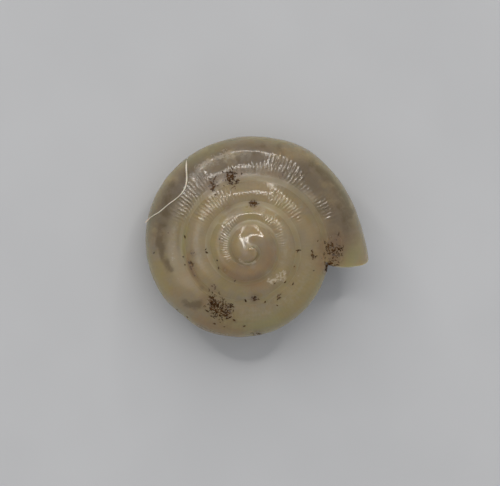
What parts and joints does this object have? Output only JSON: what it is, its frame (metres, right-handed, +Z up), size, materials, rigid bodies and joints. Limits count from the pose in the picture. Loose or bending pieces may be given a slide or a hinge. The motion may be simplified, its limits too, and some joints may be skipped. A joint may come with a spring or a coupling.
{
  "type": "land snail shell",
  "caption": "Low, coiled land snail shell with a shallow spire, an open umbilicus, a rounded last whorl and a thin, plain-lipped mouth.",
  "frame": {"origin": "centre of the shell's footprint box, on the surface that it rests on", "axes": "+Z up from the resting surface, on the apex side; +X towards the lip's outer corner; +Y along the coil back from the mouth, so the mouth opens towards -Y"},
  "size_m": [0.005, 0.0046, 0.0023],
  "materials": {
    "shell_wall": "glossy, waxy and a little translucent, olive grey to amber, with fine growth lines and specks of dried soil"
  },
  "bodies": {
    "root": {"shell": "shell_wall"}
  },
  "joints": []
}
